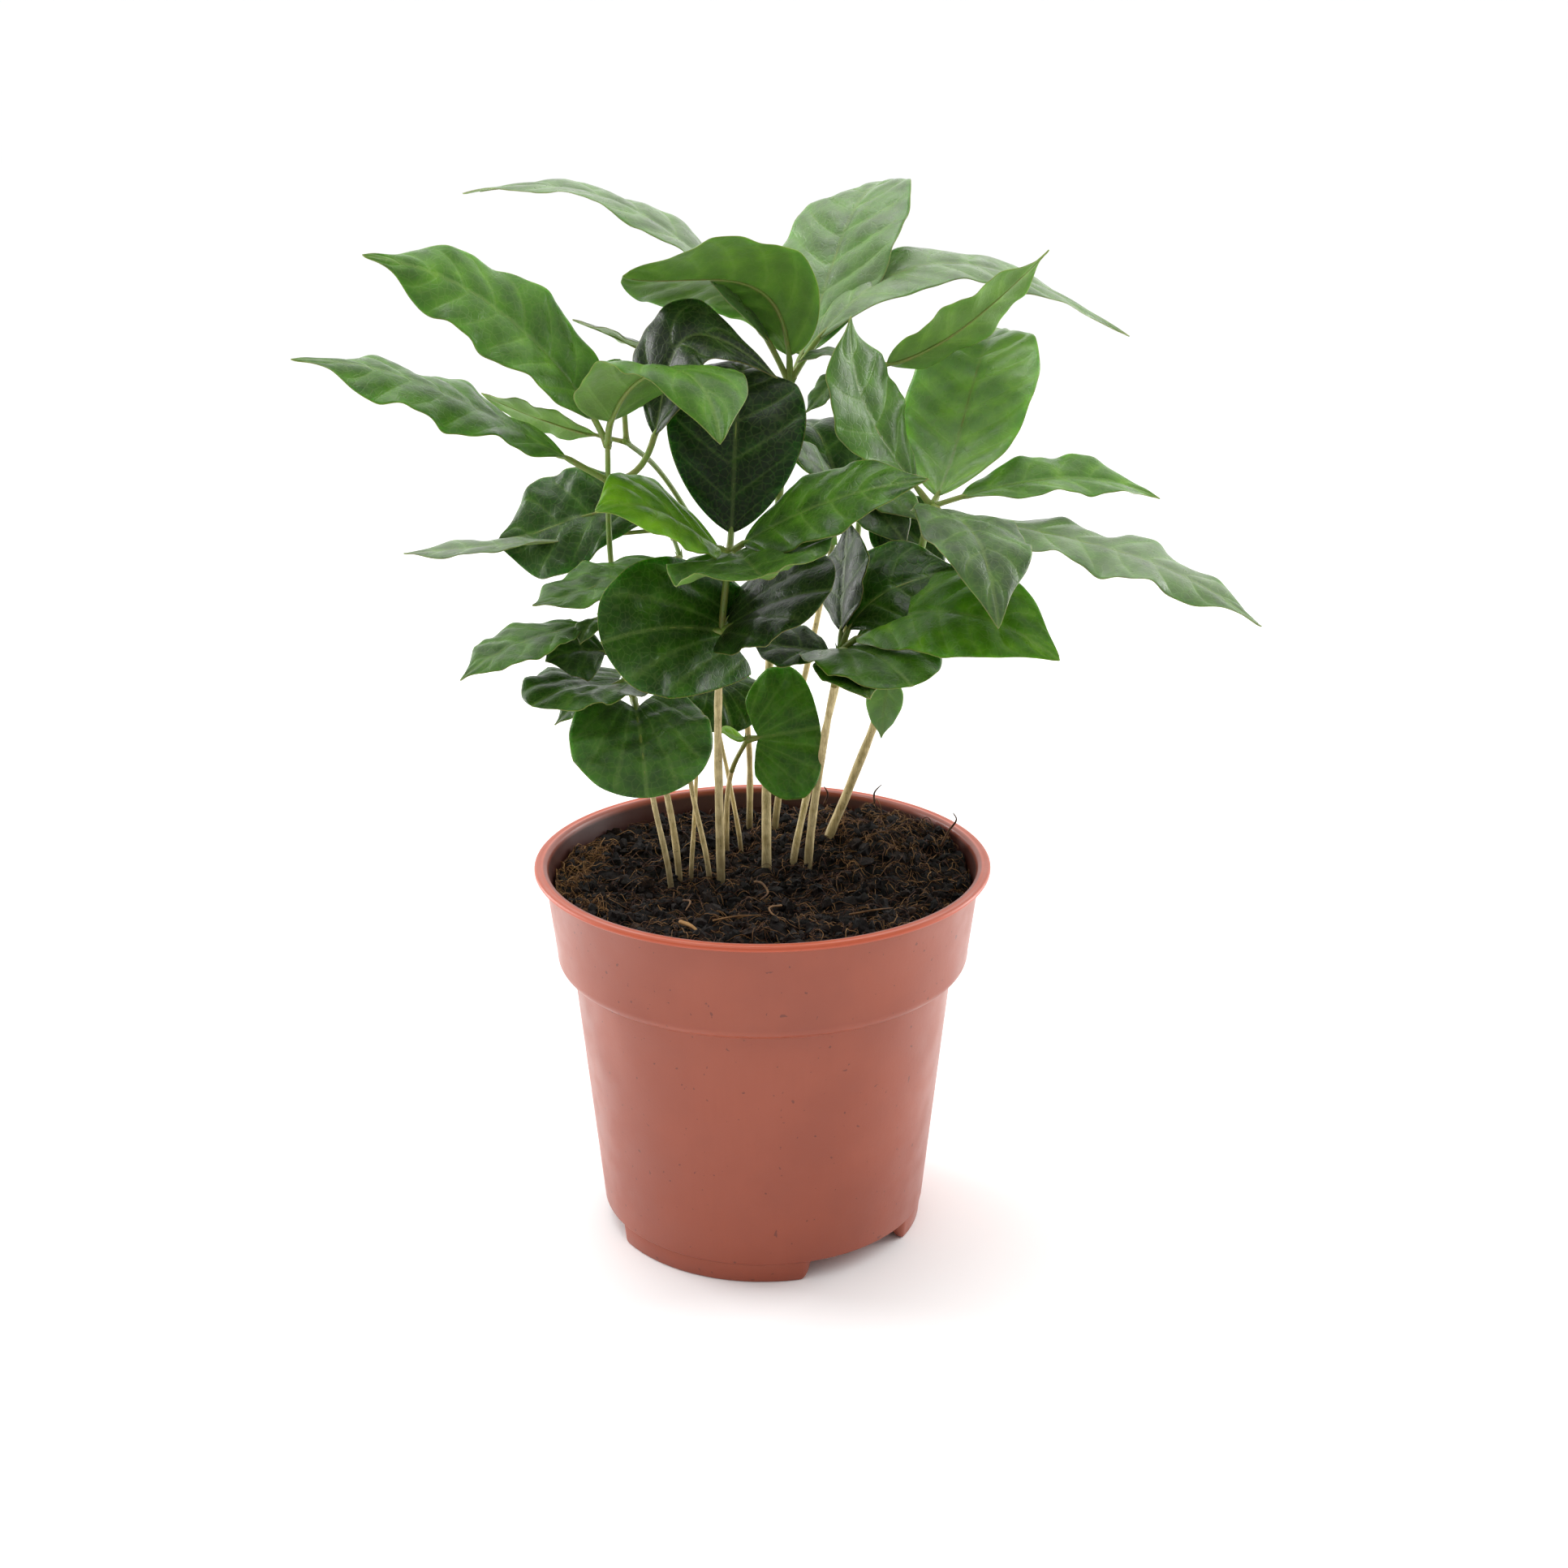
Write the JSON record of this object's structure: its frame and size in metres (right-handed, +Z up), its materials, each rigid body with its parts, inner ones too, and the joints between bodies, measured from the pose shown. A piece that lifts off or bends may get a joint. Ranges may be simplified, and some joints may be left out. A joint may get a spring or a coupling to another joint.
{
  "type": "potted coffee plant",
  "caption": "Young coffee plants with glossy waved leaves growing close together from the soil of a round terracotta-coloured plastic nursery pot.",
  "frame": {"origin": "middle of the whole plant's box on the ground, level with the underside of the pot's foot", "axes": "+Z up, along the pot's axis; the side the picture shows faces -Y"},
  "size_m": [0.2334, 0.1462, 0.2722],
  "materials": {
    "pot_plastic": "satin terracotta-coloured polypropylene",
    "soil": null,
    "stem": "dull tan young stem, lined lengthwise",
    "leaf": null
  },
  "bodies": {
    "root": {"pot": "pot_plastic", "soil": "soil", "seedling_01_stem": "stem", "seedling_02_stem": "stem", "seedling_03_stem": "stem", "seedling_04_stem": "stem", "seedling_05_stem": "stem", "seedling_06_stem": "stem", "seedling_07_stem": "stem", "seedling_08_stem": "stem", "seedling_09_stem": "stem", "seedling_10_stem": "stem", "seedling_11_stem": "stem", "seedling_12_stem": "stem", "seedling_13_stem": "stem", "seedling_14_stem": "stem", "seedling_01_shoot": "leaf", "seedling_02_shoot": "leaf", "seedling_03_shoot": "leaf", "seedling_04_shoot": "leaf", "seedling_05_shoot": "leaf", "seedling_06_shoot": "leaf", "seedling_07_shoot": "leaf", "seedling_08_shoot": "leaf", "seedling_09_shoot": "leaf", "seedling_10_shoot": "leaf", "seedling_11_shoot": "leaf", "seedling_12_shoot": "leaf"}
  },
  "joints": []
}
